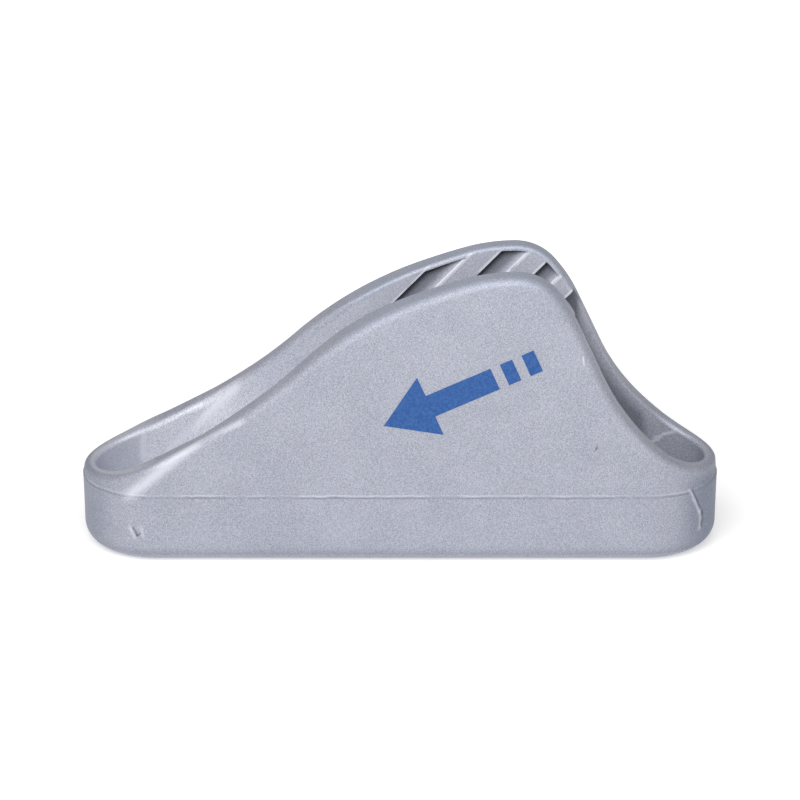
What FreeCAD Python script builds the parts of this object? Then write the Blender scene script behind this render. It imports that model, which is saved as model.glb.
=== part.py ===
# Jam cleat, die cast in one piece: two drafted cheeks on a long base, a toothed V groove
# between them, a screw pocket at each end and lightening cores in the underside.
# Millimetres, +Z up. Origin: centre of the base. +X points to the steep end.
# One half, at positive Y, is modelled and then mirrored.
import FreeCAD, Part
import math
import os
from FreeCAD import Vector

# Body
length = 82.0
width = 19.0
height = 38.55
parting_height = 9.45
parting_step = 0.12
upper_draft = 3.0
lower_draft = 1.5
bottom_round = 3.0

# Rim line in side view, from the toe of the long side over the peak to the heel
toe_rise = 1.24
toe_slope = 3.9
tail_run = 13.0
tail_rise = 6.08
tail_slope = 28.6
flank_run = 27.6
flank_share = 0.56
flank_slope = 42.9
crown_setback = 12.8
crown_drop = 3.12
crown_slope = 21.2
peak_setback = 26.14
shoulder_run = 8.1
shoulder_drop = 7.15
steep_slope = -65.7
steep_run = 3.0
heel_rise = 2.2
heel_slope = -5.0
heel_bias = 1.6

# Cheek tops
tip_round = 0.7
crown_round = 1.3
tip_swell = 3
inner_round = 0.5

# V groove, and the lead-in in which its walls open towards the long end
crest_wall = 3.27
groove_floor_rise = 2.55
groove_floor_half = 0.9
lead_run = 18.56
lead_steps = 16
lead_wall = 4.05
lead_flare_ahead = 2.0
lead_flare = 8.0
lead_flare_power = 2.5
lead_flare_inset = 0.36
lead_lean_growth = 1.19
lead_round = 1.2
flare_round = 1.5

# Teeth of the groove
tooth_angle = 45.0
tooth_pitch = 5.1
tooth_gap = 2.55
tooth_depth = 1.6
tooth_gaps = 3
tooth_lip = 0.6
tooth_foot = 1.0
gap_edge = 0.15
gap_reach = 1.2
relief_setback = 1.97

# Screw pockets, each with a drafted slot that runs towards the groove
tip_wall = 1.7
side_wall = 3.5
pocket_draft = 1.0
slot_wall = 3.2
hole_diameter = 5.3
seat_height = 4.0
countersink_depth = 1.4
left_ramp_gap = 6.8
left_ramp_slope = 43.5
right_ramp_run = 0.1
right_ramp_slope = 52.0

# Underside cores
core_inner = 3.3
core_wall = 3.2
core_margin = 10.3
core_floor = 3.0
core_draft = 2.0

# Derived sizes
half_width = width / 2.0
end_centre = length / 2.0 - half_width
above = height + 4.0
toe_x = -length / 2.0
heel_x = length / 2.0
flank_x = toe_x + flank_run
flank_height = parting_height + flank_share * (height - parting_height)
peak_x = heel_x - peak_setback
shoulder_x = peak_x + shoulder_run
shoulder_height = height - shoulder_drop
groove_floor = parting_height + groove_floor_rise
pocket_radius = half_width - side_wall
hole_x = length / 2.0 - tip_wall - pocket_radius
left_ramp_top = -hole_x + pocket_radius + left_ramp_gap
right_ramp_top = shoulder_x + right_ramp_run
flare_start = left_ramp_top + lead_flare_ahead
lead_end = left_ramp_top + lead_run


def tan(degrees):
    return math.tan(math.radians(degrees))


def stations(inset):
    """Rim stations, each moved square to the rim line by the inset."""
    foot_drop = steep_run * tan(steep_slope)
    places = [
        (toe_x, parting_height + toe_rise, toe_slope),
        (toe_x + tail_run, parting_height + tail_rise, tail_slope),
        (flank_x, flank_height, flank_slope),
        (peak_x - crown_setback, height - crown_drop, crown_slope),
        (peak_x, height, 0.0),
        (shoulder_x, shoulder_height, steep_slope),
        (shoulder_x + steep_run, shoulder_height + foot_drop, steep_slope),
        (heel_x, parting_height + heel_rise, heel_slope),
    ]
    moved = []
    for x, z, slope in places:
        turn = math.radians(slope)
        moved.append((Vector(x + inset * math.sin(turn), 0, z - inset * math.cos(turn)), turn))
    return moved


def tangent_arc(start, corner, end):
    """Arc from start to end whose tangents meet at the corner."""
    chord = end - start
    middle = start + chord * 0.5
    rise = corner - middle
    half = chord.Length / 2.0
    if rise.Length < 1e-6 * half:
        return Part.LineSegment(start, end)
    angle = math.atan2(rise.Length, half)
    top = middle + rise.normalize() * (half * math.tan(angle / 2.0))
    return Part.Arc(start, top, end)


def biarc(start, start_turn, end, end_turn, bias):
    """Two arcs that leave start and reach end along the given slopes.

    bias is the first arc's tangent length over the second's.
    """
    t0 = Vector(math.cos(start_turn), 0, math.sin(start_turn))
    t1 = Vector(math.cos(end_turn), 0, math.sin(end_turn))
    across = end - start
    bend = 2.0 * bias * (1.0 - t0.dot(t1))
    if bend < 1e-9:
        return [Part.LineSegment(start, end)]
    along = across.dot(t0 * bias + t1)
    reach = (math.sqrt(along * along + bend * across.dot(across)) - along) / bend
    first = start + t0 * (reach * bias)
    second = end - t1 * reach
    joint = first + (second - first) * (bias / (1.0 + bias))
    return [tangent_arc(start, first, joint), tangent_arc(joint, second, end)]


def rim_curves(inset):
    """The rim line seen from the side, as tangent arcs and one straight."""
    places = stations(inset)
    biases = [1.0] * (len(places) - 2) + [heel_bias]
    curves = []
    for (start, start_turn), (end, end_turn), bias in zip(places, places[1:], biases):
        curves += biarc(start, start_turn, end, end_turn, bias)
    return curves


def rim_prism(inset):
    """Everything under the rim line."""
    curves = rim_curves(inset)
    edges = [curve.toShape() for curve in curves]
    left = curves[0].StartPoint
    right = curves[-1].EndPoint
    low = -5.0
    far = length / 2.0 + 5.0
    outline = [right, Vector(far, 0, right.z + (far - right.x) * tan(heel_slope)), Vector(far, 0, low)]
    outline += [Vector(-far, 0, low), Vector(-far, 0, left.z + (-far - left.x) * tan(toe_slope)), left]
    for a, b in zip(outline, outline[1:]):
        edges.append(Part.LineSegment(a, b).toShape())
    face = Part.Face(Part.Wire(Part.__sortEdges__(edges)))
    prism = face.extrude(Vector(0, width, 0))
    prism.translate(Vector(0, -1.0, 0))
    return prism


def rim_height(x):
    """Height of the rim line at one X."""
    upright = Part.LineSegment(Vector(x, 0, 0), Vector(x, 0, above)).toShape()
    for curve in rim_curves(0.0):
        if curve.StartPoint.x - 1e-6 <= x <= curve.EndPoint.x + 1e-6:
            return upright.distToShape(curve.toShape())[1][0][1].z
    return above


def outer_half_width(z):
    """Half width of the body's upper part at height z, on its straight stretch."""
    return half_width - parting_step - (z - parting_height) * tan(upper_draft)


def polygon(points):
    edges = [Part.LineSegment(a, b).toShape() for a, b in zip(points, points[1:] + points[:1])]
    return Part.Wire(edges)


def half_stadium(r, z):
    """Outline of half a stadium with end radius r at height z, closed along the middle plane."""
    q = r * math.sqrt(0.5)
    c = end_centre
    left = Part.Arc(Vector(-c - r, 0, z), Vector(-c - q, q, z), Vector(-c, r, z))
    side = Part.LineSegment(Vector(-c, r, z), Vector(c, r, z))
    right = Part.Arc(Vector(c, r, z), Vector(c + q, q, z), Vector(c + r, 0, z))
    middle = Part.LineSegment(Vector(c + r, 0, z), Vector(-c - r, 0, z))
    return Part.Wire([left.toShape(), side.toShape(), right.toShape(), middle.toShape()])


def blank():
    """Half of the solid body, with its parting step, under the rim line."""
    foot = half_width - parting_height * tan(lower_draft)
    lower = Part.makeLoft([half_stadium(foot, 0), half_stadium(half_width, parting_height)], True, True)
    rising = [half_stadium(outer_half_width(z), z) for z in (parting_height, above)]
    upper = Part.makeLoft(rising, True, True)
    return lower.fuse(upper).common(rim_prism(0.0))


def box(low, high):
    size = high - low
    return Part.makeBox(size.x, size.y, size.z, low)


def groove_lean():
    """Slope of the V groove's wall, which leaves the crest wall beside it at the peak."""
    half = outer_half_width(height) - crest_wall
    return (half - groove_floor_half) / (height - groove_floor)


def wall_at(z):
    """Half width of the V groove at height z."""
    return groove_floor_half + (z - groove_floor) * groove_lean()


def lead_lean():
    """Slope of the lead-in's wall where the ramp begins, with the lead wall beside it."""
    rise = rim_height(left_ramp_top) - groove_floor
    return (half_width - lead_wall - groove_floor_half) / rise


def flank_at(x, z, lead):
    """Half width of the lead-in at X and height z. It leaves the V groove's wall smoothly.

    lead is the slope of its wall where the ramp begins.
    """
    opening = max(0.0, (lead_end - x) / (lead_end - left_ramp_top))
    lean = groove_lean() + (lead - groove_lean()) * opening * opening
    spread = max(0.0, (flare_start - x) / lead_flare) ** lead_flare_power
    foot = groove_floor_half + (pocket_radius - lead_flare_inset - groove_floor_half) * spread
    return foot + (z - groove_floor) * min(lean, lead * lead_lean_growth)


def flank_outline(z):
    """Plan outline of the lead-in and the V groove at height z."""
    start = -hole_x
    lead = lead_lean()
    places = [start + (lead_end - start) * i / lead_steps for i in range(lead_steps + 1)]
    points = [Vector(x, flank_at(x, z, lead), z) for x in places]
    curve = Part.BSplineCurve()
    curve.interpolate(Points=points, Parameters=places)
    corners = [
        points[-1],
        Vector(hole_x, points[-1].y, z),
        Vector(hole_x, -width, z),
        Vector(start, -width, z),
        points[0],
    ]
    edges = [curve.toShape()]
    edges += [Part.LineSegment(p, q).toShape() for p, q in zip(corners, corners[1:])]
    return Part.Wire(edges)


def left_floor(x):
    """Height of the groove's floor and of the left ramp at X."""
    return groove_floor - max(0.0, left_ramp_top - x) * tan(left_ramp_slope)


def floor_prism():
    """Everything above the groove's floor and the two ramps down to the pockets."""
    right_run = hole_x - right_ramp_top
    line = [
        Vector(-hole_x, -width, left_floor(-hole_x)),
        Vector(left_ramp_top, -width, groove_floor),
        Vector(right_ramp_top, -width, groove_floor),
        Vector(hole_x, -width, groove_floor - right_run * tan(right_ramp_slope)),
        Vector(hole_x, -width, above),
        Vector(-hole_x, -width, above),
    ]
    return Part.Face(polygon(line)).extrude(Vector(0, 2.0 * width, 0))


def pocket_reach(z):
    """Radius of a screw pocket at height z."""
    return pocket_radius + (z - groove_floor) * tan(pocket_draft)


def seat(side):
    """Round screw pocket at one end, open to above."""
    foot = Vector(side * hole_x, 0, seat_height)
    return Part.makeCone(pocket_reach(seat_height), pocket_reach(above), above - seat_height, foot)


def slot_walls(side, x, z, half):
    """Drafted space from a pocket inwards.

    Its wall is tangent to the pocket and passes through the given half width at X and z.
    """
    run = abs(side * hole_x - x)
    a = math.asin(pocket_reach(z) / math.hypot(run, half)) - math.atan2(half, run)
    along = Vector(-side * math.cos(a), -math.sin(a), 0)
    out = Vector(-side * math.sin(a), math.cos(a), 0)
    foot = Vector(side * hole_x, 0, seat_height)
    rise = Vector(0, 0, above - seat_height)
    section = [
        foot - out * width,
        foot + out * pocket_reach(seat_height),
        foot + rise + out * pocket_reach(above),
        foot + rise - out * width,
    ]
    return Part.Face(polygon(section)).extrude(along * length)


def lead_slot():
    """Slot on the long side, between the pocket and the lead-in."""
    z = rim_height(left_ramp_top)
    return slot_walls(-1, left_ramp_top, z, outer_half_width(z) - slot_wall)


def relief_slot():
    """Slot on the steep side. At the shoulder it is as deep as the tooth gaps."""
    return slot_walls(1, shoulder_x, shoulder_height, wall_at(shoulder_height) + tooth_depth)


def groove():
    """V groove with its lead-in, down to the floor and the ramps."""
    flanks = Part.makeLoft([flank_outline(seat_height), flank_outline(above)], True, True)
    past_lead = box(Vector(lead_end - 1.0, -width, seat_height), Vector(hole_x, width, above))
    return flanks.common(floor_prism()).common(lead_slot().fuse(past_lead))


def tooth_cutter(start, width_across, back, outer):
    """Slanted cut in the groove's wall: a deep step on its left side, rising to its right.

    start is the X of its left edge at the shoulder's height.
    """
    turn = math.radians(tooth_angle)
    lean = groove_lean()
    along = Vector(math.cos(turn), math.sin(turn) * lean, math.sin(turn))
    across = Vector(math.sin(turn), -math.cos(turn) * lean, -math.cos(turn))
    out = Vector(0, 1, 0)
    reach = 2.0 * height
    foot = Vector(start, wall_at(shoulder_height), shoulder_height) - along * (reach / 2.0)
    section = [
        foot - out * outer,
        foot + out * tooth_depth,
        foot + across * width_across + out * back,
        foot + across * width_across - out * outer,
    ]
    return Part.Face(polygon(section)).extrude(along * reach)


def tooth_start(i):
    """X of one gap's left edge at the shoulder's height. The last is the relief's."""
    step = tooth_pitch / math.sin(math.radians(tooth_angle))
    return shoulder_x - relief_setback - (tooth_gaps - i) * step


def teeth():
    """The slanted gaps, closed at the top by a lip under the rim."""
    gaps = [tooth_cutter(tooth_start(i), tooth_gap, gap_edge, gap_reach) for i in range(tooth_gaps)]
    low = Vector(-length, -width, groove_floor + tooth_foot)
    high = Vector(length, width, above)
    return Part.makeCompound(gaps).common(rim_prism(tooth_lip).common(box(low, high)))


def relief():
    """Space past the last tooth, down the ramp and into the steep end's pocket."""
    start = tooth_start(tooth_gaps)
    slant = 1.0 / tan(tooth_angle)
    outline = [
        Vector(start - (shoulder_height - seat_height) * slant, -width, seat_height),
        Vector(length, -width, seat_height),
        Vector(length, -width, above),
        Vector(start + (above - shoulder_height) * slant, -width, above),
    ]
    past = Part.Face(polygon(outline)).extrude(Vector(0, 2.0 * width, 0))
    return relief_slot().common(past).common(floor_prism())


def samples(edge):
    """Three points along an edge."""
    span = edge.LastParameter - edge.FirstParameter
    return [edge.valueAt(edge.FirstParameter + span * share) for share in (0.1, 0.5, 0.9)]


def on_rim(edge):
    """True if the edge lies on the rim line's surface."""
    for point in samples(edge):
        if abs(point.x) > length / 2.0 - 0.01 or abs(point.z - rim_height(point.x)) > 0.02:
            return False
    return True


def in_valley(edge):
    """True if the edge is the valley between the lead-in's wall and the slot's."""
    lead = lead_lean()
    for point in samples(edge):
        x, z = point.x, point.z
        if x > lead_end - 0.02 or z < max(seat_height, left_floor(x)) + 0.02:
            return False
        if math.hypot(x + hole_x, point.y) < pocket_reach(z) + 0.02:
            return False
        if abs(point.y - flank_at(x, z, lead)) > 0.1:
            return False
    return not on_rim(edge)


def outer_edge(edge):
    """True if the edge lies on the body's outer wall."""
    point = edge.valueAt((edge.FirstParameter + edge.LastParameter) / 2.0)
    half = outer_half_width(point.z)
    past = max(0.0, abs(point.x) - end_centre)
    return abs(math.hypot(past, point.y) - half) < 0.02


def crosswise(edge):
    """True if the edge runs straight across the body, between two rim surfaces."""
    a, b = edge.valueAt(edge.FirstParameter), edge.valueAt(edge.LastParameter)
    return abs(a.x - b.x) < 1e-4


def outer_round(x):
    """Radius of the cheek's outer top edge at X, slimmer round the body's ends."""
    share = min(1.0, max(0.0, length / 2.0 - abs(x)) / half_width)
    return tip_round + (crown_round - tip_round) * share ** tip_swell


def inner_edge_round(x):
    """Radius of the cheek's inner top edge at X: soft along the lead-in."""
    share = min(1.0, max(0.0, (x + hole_x) / (lead_end + hole_x)))
    return inner_round + (lead_round - inner_round) * math.sin(math.pi * share)


def rounded(shape, radii):
    """Shape with each listed edge rounded from its start radius to its end radius."""
    document = FreeCAD.newDocument()
    base = document.addObject("Part::Feature", "base")
    base.Shape = shape
    fillet = document.addObject("Part::Fillet", "fillet")
    fillet.Base = base
    fillet.Edges = radii
    document.recompute()
    result = fillet.Shape.copy()
    FreeCAD.closeDocument(document.Name)
    return result


def rim_edges(shape, outside):
    """Numbers of the cheek top's edges, on the outer wall or on the inner side."""
    found = []
    for number, edge in enumerate(shape.Edges, 1):
        if crosswise(edge) or not on_rim(edge):
            continue
        middle = edge.valueAt((edge.FirstParameter + edge.LastParameter) / 2.0)
        if middle.y > 0.01 and outer_edge(edge) == outside:
            found.append((number, edge))
    return found


def round_along(edges, law):
    """Fillet list in which the radius follows a law of X."""
    radii = []
    for number, edge in edges:
        ends = [edge.valueAt(edge.FirstParameter).x, edge.valueAt(edge.LastParameter).x]
        if edge.Orientation == "Reversed":
            ends.reverse()
        radii.append((number, law(ends[0]), law(ends[1])))
    return radii


def round_valley(shape):
    """Round the valley between the lead-in's wall and the slot's."""
    found = [(edge.Length, number) for number, edge in enumerate(shape.Edges, 1) if in_valley(edge)]
    return rounded(shape, [(max(found)[1], flare_round, flare_round)])


def round_cheeks(shape):
    """Round the cheek tops along their outer and inner edges."""
    shape = rounded(shape, round_along(rim_edges(shape, False), inner_edge_round))
    return rounded(shape, round_along(rim_edges(shape, True), outer_round))


def round_foot(shape):
    """Round the lower edge all round."""
    radii = []
    for number, edge in enumerate(shape.Edges, 1):
        box = edge.BoundBox
        if box.ZMax < 0.01 and box.YMax > 0.01:
            radii.append((number, bottom_round, bottom_round))
    return rounded(shape, radii)


def core_outline(inset, z):
    """Outline of a core at height z, drawn in by the inset."""
    end = hole_x - core_margin - inset
    near = core_inner + inset
    far = half_width - core_wall - inset
    return polygon([Vector(-end, near, z), Vector(end, near, z), Vector(end, far, z), Vector(-end, far, z)])


def core():
    """Tapered lightening core under one cheek."""
    roof = groove_floor - core_floor
    return Part.makeLoft([core_outline(0, 0), core_outline(roof * tan(core_draft), roof)], True, True)


def screw_hole(side):
    """Through hole with a countersink in the pocket's seat."""
    centre = Vector(side * hole_x, 0, -1.0)
    bore = Part.makeCylinder(hole_diameter / 2.0, seat_height + 2.0, centre)
    sink_low = Vector(side * hole_x, 0, seat_height - countersink_depth)
    widen = countersink_depth
    sink = Part.makeCone(hole_diameter / 2.0, hole_diameter / 2.0 + widen, countersink_depth, sink_low)
    return bore.fuse(sink)


def cleat_body():
    """The whole casting."""
    spaces = [seat(-1), seat(1), groove(), relief()]
    half = round_foot(blank())
    for space in spaces:
        half = half.cut(space)
    half = round_cheeks(round_valley(half))
    half = half.cut(teeth())
    half = half.cut(core())
    half = half.cut(screw_hole(-1).fuse(screw_hole(1)))
    other = half.mirror(Vector(0, 0, 0), Vector(0, 1, 0))
    return half.fuse(other).removeSplitter()


os.makedirs("parts", exist_ok=True)
body = cleat_body()
print("cleat_body", body.isValid(), round(body.Volume, 1), len(body.Solids), len(body.Faces))
body.exportStep("parts/cleat_body.step")
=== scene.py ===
import math

import bpy
from mathutils import Matrix, Vector


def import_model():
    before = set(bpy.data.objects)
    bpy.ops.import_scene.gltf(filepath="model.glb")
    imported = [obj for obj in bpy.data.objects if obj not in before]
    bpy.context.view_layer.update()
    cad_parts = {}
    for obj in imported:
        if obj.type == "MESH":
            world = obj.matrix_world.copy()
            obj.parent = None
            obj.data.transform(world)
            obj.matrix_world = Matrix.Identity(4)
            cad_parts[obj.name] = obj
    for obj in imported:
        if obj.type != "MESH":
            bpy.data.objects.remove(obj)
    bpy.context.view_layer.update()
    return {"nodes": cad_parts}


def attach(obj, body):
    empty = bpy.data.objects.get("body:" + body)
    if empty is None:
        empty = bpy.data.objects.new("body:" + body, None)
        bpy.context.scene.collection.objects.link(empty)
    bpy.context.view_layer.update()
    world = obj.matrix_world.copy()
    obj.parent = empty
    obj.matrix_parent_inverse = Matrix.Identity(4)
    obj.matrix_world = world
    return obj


MM = 0.001

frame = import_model()

# Forms of the casting that the material and the print follow, in millimetres
PARTING = 9.45
END_CENTRE = 31.5
OUTER_REACH = 9.38
WALL_DRAFT = math.radians(3.0)
GROOVE_LEAN = 0.14
GROOVE_START = -0.78
FIRST_GAP = -32.05
TOOTH_STEP = 7.212
LAST_LAND_X = 23.5
CREST_X = 14.86
CREST_HEIGHT = 38.55
CREST_BEND_LEFT = 0.0173
CREST_BEND_RIGHT = 0.1
HEEL_X = 51.5
HEEL_Z = 36.3
HEEL_RADIUS = 28.0

# Fades of the painted light and shade by place, in millimetres: absent at the first value, full at the second
OUTER_WALL_REACH = (OUTER_REACH - 1.0, OUTER_REACH - 0.5)
LEFT_END_X = (-36.0, -40.0)
RIGHT_END_X = (34.5, 39.5)
ENDS_Z = (12.5, 9.5)
FOOT_Z = (2.4, 0.4)
HOLLOW_X = (-18.0, -25.0)
HOLLOW_REACH = (6.5, 5.9)
POCKET_END_X = (-30.5, -34.5)
POCKET_END_REACH = (8.9, 8.2)
POCKET_Z = (4.0, 6.0)
NEAR_SIDE_Y = (-1.0, -2.0)
LANDS_X = (-3.0, 0.0)
GROOVE_SIDE = (6.2, 5.95)
RECESS_DEPTH = (0.05, 0.8)
GAP_UNDER_RIM = (0.35, 0.75)
GAP_X = (LAST_LAND_X, LAST_LAND_X - 1.0)
SLOT_UNDER_HEEL = (0.5, 2.0)
FLUSH_DEPTH = (0.4, 0.2)
TEETH_SLANT = (-0.4, -0.2)
CRESTS_UNDER_RIM = (0.3, 0.6)
V_WALL_SIDE = (6.0, 5.4)
V_WALL_UNDER_RIM = (0.4, 0.8)
V_WALL_Z = (12.5, 16.0)
CROWN_UNDER_RIM = (1.0, 0.4)

# Bands of the painted light and shade, in millimetres: low end, high end and the fade past both
SEAM_ABOVE = (PARTING, PARTING + 0.16, 0.1)
SEAM_BELOW = (PARTING - 0.22, PARTING - 0.04, 0.1)
FAR_CHEEK_Y = (2.0, 6.2, 0.2)
SLOT_X = (LAST_LAND_X, 31.0, 1.5)
RISING_EDGE = (TOOTH_STEP - 0.3, TOOTH_STEP - 0.02, 0.25)
FALLING_EDGE = (TOOTH_STEP / 2.0 - 0.1, TOOTH_STEP / 2.0 + 0.2, 0.25)
V_WALL_X = (-10.0, 20.0, 5.0)
CROWN_X = (-4.0, 19.0, 5.0)

# Noise: scales per metre, and the share of the clouds in the tone
GRAIN_SCALE = 6800.0
SPARKLE_SCALE = 5600.0
CLOUD_SCALE = 180.0
CLOUD_SHARE = 0.12
PATCH_SCALE = 500.0
SEAM_SHAKE_SCALE = 700.0
SEAM_SHAKE = 0.16
MARK_SHAKE_SCALE = 900.0
INK_GRAIN_SCALE = 3000.0
GRAIN_TURN = (0.6, 0.5, 0.8)

# Shares of the sparkle and of the painted light and shade, from 0 for bare metal to 1 for the tone alone
SPARKLE_SHARE = 0.35
OUTER_WALL_SHARE = 0.1
FOOT_SHARE = 0.26
ENDS_SHARE = 0.2
RIGHT_END_GAIN = 1.7
POCKET_END_SHARE = 0.3
SEAM_ABOVE_SHARE = 0.4
SEAM_BELOW_SHARE = 0.35
V_WALL_SHARE = 0.14
CROWN_SHARE = 0.12
SLOT_SHARE = 0.52
GAP_SHARE = 0.76
CREST_SHARE = 0.7
PATCHY = (0.4, 1.0)

# Printed arrow on the near cheek
ARROW_CENTRE_X = 8.0 * MM
ARROW_CENTRE_Z = 23.5 * MM
ARROW_TILT = math.radians(24.0)
SHAFT_LENGTH = 9.0 * MM
SHAFT_WIDTH = 3.0 * MM
SHOULDER = 0.02 * MM
HEAD_LENGTH = 6.5 * MM
HEAD_WIDTH = 8.4 * MM
BAR_COUNT = 2
BAR_LENGTH = 1.7 * MM
BAR_GAP = 1.3 * MM
INK_THICKNESS = 0.04 * MM

# Floor, background and camera
FLOOR_SIZE = 4.0
FLOOR_DROP = 0.02 * MM
FLOOR_GREY = 0.8
FLOOR_GLOW = (0.48, 0.88)
FLOOR_GLOW_AWAY = (0.05, 0.13)
BACKGROUND = (0.24, 1.0)
CAMERA_ELEVATION = math.radians(21.4)
CAMERA_DISTANCE = 0.85
CAMERA_TARGET = Vector((0.0, 0.0, 19.1 * MM))
CAMERA_LENS = 296.8
SENSOR_WIDTH = 36.0


def colour(r, g, b):
    """Linear colour of an sRGB triple in 0-255."""
    def linear(c):
        c = c / 255.0
        return c / 12.92 if c <= 0.04045 else ((c + 0.055) / 1.055) ** 2.4
    return (linear(r), linear(g), linear(b), 1.0)


WHITE = (1.0, 1.0, 1.0, 1.0)
METAL_DARK = colour(156, 159, 174)
METAL_LIGHT = colour(202, 205, 217)
SPARKLE = colour(240, 242, 250)
# Painted light: a highlight, a shade, a bluish shade for the ends and a bluish sky reflection for the rims'
# crown
PAINTED_HIGHLIGHT = colour(242, 244, 252)
PAINTED_SHADE = colour(74, 77, 90)
PAINTED_SHADE_BLUE = colour(44, 76, 118)
PAINTED_SKY_REFLECTION = colour(196, 214, 246)
INK_DARK = colour(32, 80, 148)
INK_LIGHT = colour(54, 104, 170)

# Painted highlight and painted shade lines along the casting's creases, seams, valleys, nicks and bumps:
# start and end (x, z), half width and waviness in millimetres, share, colour
WALL_LIGHT_LINES = [
    ((-26.7, 16.3), (-34.2, 9.9), 1.3, 0.3, 0.6, PAINTED_HIGHLIGHT),
    ((-26.7, 16.5), (-20.5, 19.3), 0.6, 0.3, 0.4, PAINTED_HIGHLIGHT),
    ((37.2, 9.5), (38.5, 6.2), 0.3, 0.6, 0.45, PAINTED_HIGHLIGHT),
    ((37.6, 9.4), (38.9, 5.8), 0.25, 0.6, 0.6, PAINTED_SHADE),
    ((38.6, 6.2), (38.6, 3.8), 0.3, 0.6, 0.4, PAINTED_HIGHLIGHT),
    ((38.9, 6.0), (38.9, 4.0), 0.25, 0.6, 0.5, PAINTED_SHADE),
    ((-34.15, 4.9), (-33.8, 4.1), 0.28, 0.5, 0.6, PAINTED_SHADE),
    ((-33.7, 4.0), (-33.4, 4.3), 0.25, 0.4, 0.6, PAINTED_SHADE),
    ((-34.6, 4.9), (-34.2, 3.8), 0.4, 0.5, 0.4, PAINTED_HIGHLIGHT),
    ((-33.2, 4.9), (-33.0, 4.2), 0.4, 0.5, 0.35, PAINTED_HIGHLIGHT),
    ((25.1, 15.9), (25.15, 16.0), 0.25, 0.1, 0.7, PAINTED_SHADE),
    ((23.3, 28.2), (23.4, 27.2), 0.16, 0.2, 0.6, PAINTED_HIGHLIGHT),
    ((7.8, 1.0), (7.9, 1.0), 0.25, 0.1, 0.8, PAINTED_HIGHLIGHT),
]
GROOVE_LIGHT_LINES = [
    ((-29.9, 10.0), (-21.4, 18.6), 0.9, 0.3, 0.6, PAINTED_HIGHLIGHT),
    ((-33.5, 9.2), (-33.4, 11.4), 0.8, 0.7, 0.5, PAINTED_HIGHLIGHT),
    ((31.6, 10.6), (35.2, 12.4), 0.5, 1.4, 0.7, PAINTED_HIGHLIGHT),
]


class Nodes:
    """Short hand for one material's or world's node tree."""

    def __init__(self, owner):
        owner.use_nodes = True
        self.tree = owner.node_tree
        self.tree.nodes.clear()

    def add(self, kind, **values):
        node = self.tree.nodes.new(kind)
        for name, value in values.items():
            setattr(node, name, value)
        return node

    def link(self, source, target):
        self.tree.links.new(source, target)

    def math(self, operation, *values):
        node = self.add("ShaderNodeMath", operation=operation)
        for socket, value in zip(node.inputs, values):
            if isinstance(value, (int, float)):
                socket.default_value = value
            else:
                self.link(value, socket)
        return node.outputs[0]

    def plus(self, a, b):
        return self.math("ADD", a, b)

    def minus(self, a, b):
        return self.math("SUBTRACT", a, b)

    def product(self, *values):
        result = values[0]
        for value in values[1:]:
            result = self.math("MULTIPLY", result, value)
        return result

    def distance(self, a, b):
        """Length of the straight line whose two legs are given."""
        return self.math("SQRT", self.plus(self.product(a, a), self.product(b, b)))

    def graded(self, mask, low, high):
        """The low value where the mask is 0, the high one where it is 1."""
        return self.plus(self.product(mask, high - low), low)

    def ramp(self, value, zero, one):
        """0 at or before the first value, 1 at or after the second."""
        node = self.add("ShaderNodeMapRange", interpolation_type="SMOOTHSTEP")
        swap = zero > one
        self.link(value, node.inputs["Value"])
        node.inputs["From Min"].default_value = min(zero, one)
        node.inputs["From Max"].default_value = max(zero, one)
        node.inputs["To Min"].default_value = 1.0 if swap else 0.0
        node.inputs["To Max"].default_value = 0.0 if swap else 1.0
        return node.outputs["Result"]

    def between(self, value, low, high, fade):
        """1 inside the range, fading to 0 past its ends."""
        return self.product(self.ramp(value, low - fade, low), self.ramp(value, high + fade, high))

    def noise(self, place, scale, detail):
        node = self.add("ShaderNodeTexNoise")
        node.inputs["Scale"].default_value = scale
        node.inputs["Detail"].default_value = detail
        self.link(place, node.inputs["Vector"])
        return node.outputs["Fac"]

    def shake(self, place, scale, amount):
        """Noise on both sides of 0, to make a line waver."""
        return self.product(self.minus(self.noise(place, scale, 2.0), 0.5), amount)

    def mixed(self, share, first, second):
        """Colour that goes from the first to the second as the share rises."""
        node = self.add("ShaderNodeMix", data_type="RGBA")
        self.link(share, node.inputs["Factor"])
        for socket, value in zip((node.inputs[6], node.inputs[7]), (first, second)):
            if isinstance(value, tuple):
                socket.default_value = value
            else:
                self.link(value, socket)
        return node.outputs[2]

    def tint(self, paint, mask, share, shade):
        """The paint, with a share of the shade where the mask is 1."""
        return self.mixed(self.product(mask, share), paint, shade)


class Place:
    """Object coordinates: whole, turned for the grain, and as separate values in millimetres."""

    def __init__(self, nodes):
        self.vector = nodes.add("ShaderNodeTexCoord").outputs["Object"]
        scale = nodes.add("ShaderNodeVectorMath", operation="SCALE")
        scale.inputs["Scale"].default_value = 1.0 / MM
        nodes.link(self.vector, scale.inputs[0])
        parts = nodes.add("ShaderNodeSeparateXYZ")
        nodes.link(scale.outputs["Vector"], parts.inputs["Vector"])
        self.x, self.y, self.z = parts.outputs
        self.side = nodes.math("ABSOLUTE", self.y)
        past = nodes.math("MAXIMUM", nodes.minus(nodes.math("ABSOLUTE", self.x), END_CENTRE), 0.0)
        self.reach = nodes.distance(past, self.y)
        turn = nodes.add("ShaderNodeMapping")
        turn.inputs["Rotation"].default_value = GRAIN_TURN
        nodes.link(self.vector, turn.inputs["Vector"])
        self.turned = turn.outputs["Vector"]


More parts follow.
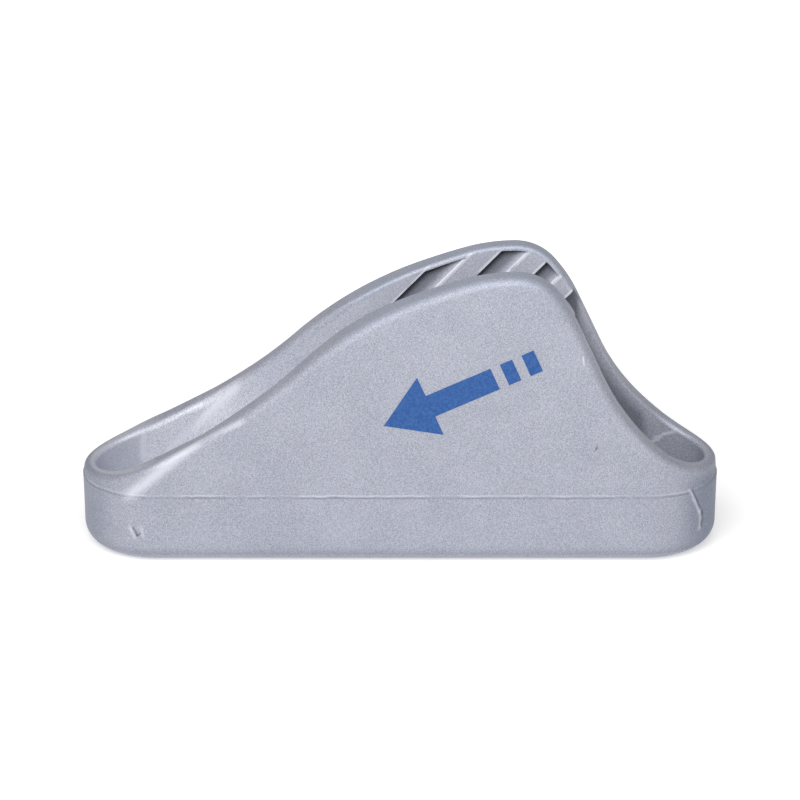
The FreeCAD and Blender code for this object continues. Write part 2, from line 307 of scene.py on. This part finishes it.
class Groove:
    """How far a place lies behind the lands, under the rim and along the teeth, in millimetres."""

    def __init__(self, nodes, at):
        land = nodes.plus(nodes.product(at.z, GROOVE_LEAN), GROOVE_START)
        self.depth = nodes.minus(at.side, land)
        run = nodes.minus(at.x, CREST_X)
        left = nodes.product(nodes.math("LESS_THAN", run, 0.0), CREST_BEND_LEFT)
        right = nodes.product(nodes.math("GREATER_THAN", run, 0.0), CREST_BEND_RIGHT)
        fall = nodes.product(run, run, nodes.plus(left, right))
        self.under_rim = nodes.minus(nodes.minus(CREST_HEIGHT, fall), at.z)
        self.slant = nodes.minus(nodes.minus(at.x, at.z), FIRST_GAP)
        self.inside = nodes.product(nodes.ramp(at.x, *LANDS_X), nodes.ramp(at.side, *GROOVE_SIDE))
        self.recess = nodes.product(nodes.ramp(self.depth, *RECESS_DEPTH), self.inside)


def outer_wall(nodes, at):
    """1 on the body's outer wall, 0 in the groove and the pockets."""
    lean = nodes.product(nodes.minus(at.z, PARTING), math.tan(WALL_DRAFT))
    return nodes.ramp(nodes.plus(at.reach, nodes.math("MAXIMUM", lean, 0.0)), *OUTER_WALL_REACH)


def bare_metal(nodes, at, tone):
    """Grey that follows the grain, with sparkling specks."""
    paint = nodes.mixed(nodes.ramp(tone, 0.3, 0.7), METAL_DARK, METAL_LIGHT)
    sparkle = nodes.ramp(nodes.noise(at.turned, SPARKLE_SCALE, 1.0), 0.64, 0.74)
    return nodes.tint(paint, sparkle, SPARKLE_SHARE, SPARKLE)


def wall_painted_shade(nodes, at, paint, outer):
    """Painted shade: the outer wall a little darker, most of all at its foot, and a bluish shade round the
    ends.
    """
    paint = nodes.tint(paint, outer, OUTER_WALL_SHARE, PAINTED_SHADE)
    paint = nodes.tint(paint, nodes.product(outer, nodes.ramp(at.z, *FOOT_Z)), FOOT_SHARE, PAINTED_SHADE)
    right = nodes.product(nodes.ramp(at.x, *RIGHT_END_X), RIGHT_END_GAIN)
    ends = nodes.plus(nodes.ramp(at.x, *LEFT_END_X), right)
    return nodes.tint(paint, nodes.product(outer, ends, nodes.ramp(at.z, *ENDS_Z)), ENDS_SHARE, PAINTED_SHADE_BLUE)


def pocket_painted_light(nodes, at, paint, tone):
    """Painted highlight on the lead-in and the left pocket, patchy with the grain, brightest round the
    pocket's end.
    """
    above_floor = nodes.ramp(at.z, *POCKET_Z)
    hollow = nodes.product(nodes.ramp(at.x, *HOLLOW_X), nodes.ramp(at.reach, *HOLLOW_REACH), above_floor)
    paint = nodes.tint(paint, hollow, nodes.graded(nodes.ramp(tone, 0.35, 0.65), *PATCHY), PAINTED_HIGHLIGHT)
    end = nodes.product(nodes.ramp(at.x, *POCKET_END_X), nodes.ramp(at.reach, *POCKET_END_REACH), above_floor)
    return nodes.tint(paint, end, POCKET_END_SHARE, PAINTED_HIGHLIGHT)


def parting_line(nodes, at, paint, outer, cloud):
    """Painted highlight over painted shade along the mould's seam, as on a small ridge, fainter in patches.
    """
    height = nodes.plus(at.z, nodes.shake(at.vector, SEAM_SHAKE_SCALE, SEAM_SHAKE))
    seam = nodes.product(outer, nodes.graded(nodes.ramp(cloud, 0.35, 0.6), *PATCHY))
    above = nodes.product(seam, nodes.between(height, *SEAM_ABOVE))
    below = nodes.product(seam, nodes.between(height, *SEAM_BELOW))
    paint = nodes.tint(paint, above, SEAM_ABOVE_SHARE, PAINTED_HIGHLIGHT)
    return nodes.tint(paint, below, SEAM_BELOW_SHARE, PAINTED_SHADE)


def line_mask(nodes, at, start, end, half, wander):
    """1 along a wavering line between two points (x, z)."""
    (x0, z0), (x1, z1) = start, end
    length = math.hypot(x1 - x0, z1 - z0)
    dx, dz = (x1 - x0) / length, (z1 - z0) / length
    x, z = nodes.minus(at.x, x0), nodes.minus(at.z, z0)
    along = nodes.plus(nodes.product(x, dx), nodes.product(z, dz))
    off = nodes.minus(nodes.product(x, dz), nodes.product(z, dx))
    shaken = nodes.plus(off, nodes.shake(at.vector, MARK_SHAKE_SCALE, wander))
    near = nodes.ramp(nodes.math("ABSOLUTE", shaken), half, 0.0)
    return nodes.product(near, nodes.between(along, 0.0, length, max(1.8 * half, 0.3)))


def painted_light_lines(nodes, at, paint, light_lines, where):
    """Painted highlights and painted shade along creases, flash lines and nicks, drawn only where the mask
    says.
    """
    for start, end, half, wander, share, shade in light_lines:
        line = line_mask(nodes, at, start, end, half, wander)
        paint = nodes.tint(paint, nodes.product(line, where), share, shade)
    return paint


def v_wall_mask(nodes, at, groove):
    """The V's smooth walls, from the lead-in to the last land and up to the rim."""
    across = nodes.product(nodes.ramp(at.side, *V_WALL_SIDE), nodes.ramp(at.z, *V_WALL_Z))
    under = nodes.ramp(groove.under_rim, *V_WALL_UNDER_RIM)
    return nodes.product(across, nodes.between(at.x, *V_WALL_X), under)


def slot_mask(nodes, at, groove):
    """The relief between the last land and the heel's round face."""
    from_heel = nodes.distance(nodes.minus(at.x, HEEL_X), nodes.minus(at.z, HEEL_Z))
    under = nodes.ramp(nodes.minus(from_heel, HEEL_RADIUS), *SLOT_UNDER_HEEL)
    return nodes.product(groove.recess, nodes.between(at.x, *SLOT_X), under)


def crest_mask(nodes, at, groove):
    """The lands' two edges in each tooth step, where a highlight is painted, in patches."""
    step = nodes.math("MODULO", nodes.plus(groove.slant, 10.0 * TOOTH_STEP), TOOTH_STEP)
    edge = nodes.math("MAXIMUM", nodes.between(step, *RISING_EDGE), nodes.between(step, *FALLING_EDGE))
    in_patches = nodes.ramp(nodes.noise(at.vector, PATCH_SCALE, 2.0), 0.3, 0.5)
    flush = nodes.ramp(nodes.math("ABSOLUTE", groove.depth), *FLUSH_DEPTH)
    under = nodes.ramp(groove.under_rim, *CRESTS_UNDER_RIM)
    return nodes.product(edge, nodes.ramp(groove.slant, *TEETH_SLANT), under, groove.inside, flush, in_patches)


def groove_painted_light_and_shade(nodes, at, paint):
    """Painted highlight on the V walls, painted bluish sky reflection on the crown, painted shade in the slot
    and the tooth gaps, painted highlights on the crests.
    """
    groove = Groove(nodes, at)
    crown = nodes.product(nodes.ramp(groove.under_rim, *CROWN_UNDER_RIM), nodes.between(at.x, *CROWN_X))
    under = nodes.ramp(groove.under_rim, *GAP_UNDER_RIM)
    gap_shade = nodes.product(groove.recess, under, nodes.ramp(at.x, *GAP_X))
    paint = nodes.tint(paint, v_wall_mask(nodes, at, groove), V_WALL_SHARE, PAINTED_HIGHLIGHT)
    paint = nodes.tint(paint, crown, CROWN_SHARE, PAINTED_SKY_REFLECTION)
    paint = nodes.tint(paint, slot_mask(nodes, at, groove), SLOT_SHARE, PAINTED_SHADE)
    paint = nodes.tint(paint, gap_shade, GAP_SHARE, PAINTED_SHADE)
    return nodes.tint(paint, crest_mask(nodes, at, groove), CREST_SHARE, PAINTED_HIGHLIGHT)


def surface_shader(nodes):
    """Principled shader on the material's output."""
    output = nodes.add("ShaderNodeOutputMaterial")
    shader = nodes.add("ShaderNodeBsdfPrincipled")
    nodes.link(shader.outputs["BSDF"], output.inputs["Surface"])
    return shader


def cast_aluminium():
    """Satin grey casting with fine sparkling grain, painted shade in the recesses, and painted highlights and
    shade along edges, creases, nicks and the mould's seam.
    """
    material = bpy.data.materials.new("cast_aluminium_satin")
    nodes = Nodes(material)
    shader = surface_shader(nodes)
    shader.inputs["Metallic"].default_value = 0.38
    shader.inputs["Roughness"].default_value = 0.6

    at = Place(nodes)
    grain = nodes.noise(at.turned, GRAIN_SCALE, 2.0)
    cloud = nodes.noise(at.vector, CLOUD_SCALE, 3.0)
    tone = nodes.plus(nodes.product(grain, 1.0 - CLOUD_SHARE), nodes.product(cloud, CLOUD_SHARE))
    outer = outer_wall(nodes, at)
    near_wall = nodes.product(outer, nodes.ramp(at.y, *NEAR_SIDE_Y))
    far_cheek = nodes.between(at.y, *FAR_CHEEK_Y)

    paint = bare_metal(nodes, at, tone)
    paint = wall_painted_shade(nodes, at, paint, outer)
    paint = pocket_painted_light(nodes, at, paint, tone)
    paint = parting_line(nodes, at, paint, outer, cloud)
    paint = painted_light_lines(nodes, at, paint, WALL_LIGHT_LINES, near_wall)
    paint = painted_light_lines(nodes, at, paint, GROOVE_LIGHT_LINES, far_cheek)
    paint = groove_painted_light_and_shade(nodes, at, paint)
    nodes.link(paint, shader.inputs["Base Color"])

    bump = nodes.add("ShaderNodeBump")
    bump.inputs["Strength"].default_value = 0.35
    bump.inputs["Distance"].default_value = 0.05 * MM
    nodes.link(grain, bump.inputs["Height"])
    nodes.link(bump.outputs["Normal"], shader.inputs["Normal"])
    return material


def blue_ink():
    """Matt blue print, a little thin where the grain shows through."""
    material = bpy.data.materials.new("blue_print_ink")
    nodes = Nodes(material)
    shader = surface_shader(nodes)
    shader.inputs["Roughness"].default_value = 0.55
    ramp = nodes.add("ShaderNodeValToRGB")
    dark, light = ramp.color_ramp.elements
    dark.position, dark.color = 0.35, INK_DARK
    light.position, light.color = 0.75, INK_LIGHT
    place = nodes.add("ShaderNodeTexCoord").outputs["Object"]
    nodes.link(nodes.noise(place, INK_GRAIN_SCALE, 2.0), ramp.inputs["Fac"])
    nodes.link(ramp.outputs["Color"], shader.inputs["Base Color"])
    return material


def deselect_all():
    if bpy.context.mode != "OBJECT":
        bpy.ops.object.mode_set(mode="OBJECT")
    bpy.ops.object.select_all(action="DESELECT")


def flat_strip(length, x):
    """Flat strip of the shaft's width, with its middle at x."""
    deselect_all()
    bpy.ops.mesh.primitive_plane_add(size=1.0, location=(0, 0, 0))
    strip = bpy.context.object
    strip.scale = (length, SHAFT_WIDTH, 1.0)
    strip.location.x = x
    bpy.ops.object.transform_apply(location=True, rotation=True, scale=True)
    return strip


def select_left_edge(shape):
    """Leave only the leftmost edge of the mesh in edit mode selected."""
    bpy.ops.mesh.select_all(action="DESELECT")
    bpy.ops.object.mode_set(mode="OBJECT")
    left = min(v.co.x for v in shape.data.vertices)
    for v in shape.data.vertices:
        v.select = v.co.x < left + SHOULDER / 2
    bpy.ops.object.mode_set(mode="EDIT")


def add_head(arrow):
    """Widen the strip's left end into a shoulder and draw it out to a point."""
    bpy.ops.object.mode_set(mode="EDIT")
    bpy.ops.mesh.select_mode(type="VERT")
    select_left_edge(arrow)
    bpy.ops.mesh.extrude_region_move(TRANSFORM_OT_translate={"value": (-SHOULDER, 0, 0)})
    bpy.ops.transform.resize(value=(1.0, HEAD_WIDTH / SHAFT_WIDTH, 1.0))
    bpy.ops.mesh.extrude_region_move(TRANSFORM_OT_translate={"value": (-HEAD_LENGTH, 0, 0)})
    bpy.ops.mesh.merge(type="CENTER")
    bpy.ops.object.mode_set(mode="OBJECT")


def arrow_print(ink):
    """A plain arrow with bars behind it, pointing where the rope pulls."""
    arrow = flat_strip(SHAFT_LENGTH, 0.0)
    arrow.name = "load_arrow_print"
    add_head(arrow)
    first_bar_x = SHAFT_LENGTH / 2 + BAR_GAP + BAR_LENGTH / 2
    bars = [flat_strip(BAR_LENGTH, first_bar_x + i * (BAR_GAP + BAR_LENGTH)) for i in range(BAR_COUNT)]
    deselect_all()
    for piece in [arrow] + bars:
        piece.select_set(True)
    bpy.context.view_layer.objects.active = arrow
    bpy.ops.object.join()

    thicken = arrow.modifiers.new("ink thickness", "SOLIDIFY")
    thicken.thickness = INK_THICKNESS
    thicken.offset = 1.0
    bpy.ops.object.modifier_apply(modifier=thicken.name)

    wall_y = -OUTER_REACH * MM + (ARROW_CENTRE_Z - PARTING * MM) * math.tan(WALL_DRAFT)
    upright = Matrix.Rotation(math.pi / 2 - WALL_DRAFT, 4, "X")
    slanted = upright @ Matrix.Rotation(ARROW_TILT, 4, "Z")
    arrow.matrix_world = Matrix.Translation((ARROW_CENTRE_X, wall_y, ARROW_CENTRE_Z)) @ slanted
    bpy.ops.object.transform_apply(location=True, rotation=True, scale=True)
    arrow.data.materials.append(ink)
    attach(arrow, "root")


def floor_material():
    """Floor that keeps the shadow and glows towards white where it is seen."""
    material = bpy.data.materials.new("pale_floor")
    nodes = Nodes(material)
    output = nodes.add("ShaderNodeOutputMaterial")
    both = nodes.add("ShaderNodeAddShader")
    nodes.link(both.outputs["Shader"], output.inputs["Surface"])
    matt = nodes.add("ShaderNodeBsdfDiffuse")
    matt.inputs["Color"].default_value = (FLOOR_GREY, FLOOR_GREY, FLOOR_GREY, 1.0)
    nodes.link(matt.outputs["BSDF"], both.inputs[0])
    glow = nodes.add("ShaderNodeEmission")
    glow.inputs["Color"].default_value = WHITE
    nodes.link(glow.outputs["Emission"], both.inputs[1])
    path = nodes.add("ShaderNodeLightPath")
    seen = nodes.math("MAXIMUM", path.outputs["Is Camera Ray"], path.outputs["Is Glossy Ray"])
    seen = nodes.math("MAXIMUM", seen, path.outputs["Is Transmission Ray"])
    away = nodes.add("ShaderNodeVectorMath", operation="LENGTH")
    nodes.link(nodes.add("ShaderNodeTexCoord").outputs["Object"], away.inputs[0])
    strength = nodes.graded(nodes.ramp(away.outputs["Value"], *FLOOR_GLOW_AWAY), *FLOOR_GLOW)
    nodes.link(nodes.product(seen, strength), glow.inputs["Strength"])
    return material


def floor():
    deselect_all()
    bpy.ops.mesh.primitive_plane_add(size=FLOOR_SIZE, location=(0, 0, -FLOOR_DROP))
    ground = bpy.context.object
    ground.name = "floor"
    ground.data.materials.append(floor_material())


def world():
    """White where it is seen, softer where it lights the part."""
    sky = bpy.data.worlds.new("studio")
    bpy.context.scene.world = sky
    nodes = Nodes(sky)
    output = nodes.add("ShaderNodeOutputWorld")
    background = nodes.add("ShaderNodeBackground")
    background.inputs["Color"].default_value = WHITE
    nodes.link(background.outputs["Background"], output.inputs["Surface"])
    seen = nodes.add("ShaderNodeLightPath").outputs["Is Camera Ray"]
    nodes.link(nodes.graded(seen, *BACKGROUND), background.inputs["Strength"])


def aim_at_part(name, data, azimuth, elevation, distance):
    """New light or camera that points at the part. Azimuth 0 is in front, negative to the left."""
    level = math.cos(elevation)
    back = Vector((math.sin(azimuth) * level, -math.cos(azimuth) * level, math.sin(elevation)))
    thing = bpy.data.objects.new(name, data)
    bpy.context.collection.objects.link(thing)
    thing.location = CAMERA_TARGET + back * distance
    thing.rotation_euler = (-back).to_track_quat("-Z", "Y").to_euler()
    return thing


def soft_light(name, azimuth, elevation, distance, size, power):
    """Square studio light."""
    data = bpy.data.lights.new(name, "AREA")
    data.shape = "SQUARE"
    data.size = size
    data.energy = power
    aim_at_part(name, data, math.radians(azimuth), math.radians(elevation), distance)


def camera():
    data = bpy.data.cameras.new("camera")
    data.lens = CAMERA_LENS
    data.sensor_width = SENSOR_WIDTH
    bpy.context.scene.camera = aim_at_part("camera", data, 0.0, CAMERA_ELEVATION, CAMERA_DISTANCE)


body = frame["nodes"]["cleat_body"]
metal = cast_aluminium()
for slot in body.material_slots:
    slot.material = metal
arrow_print(blue_ink())
floor()
world()
soft_light("key", azimuth=-9.0, elevation=46.0, distance=0.6, size=0.45, power=3.4)
camera()
bpy.context.scene.view_settings.view_transform = "Standard"
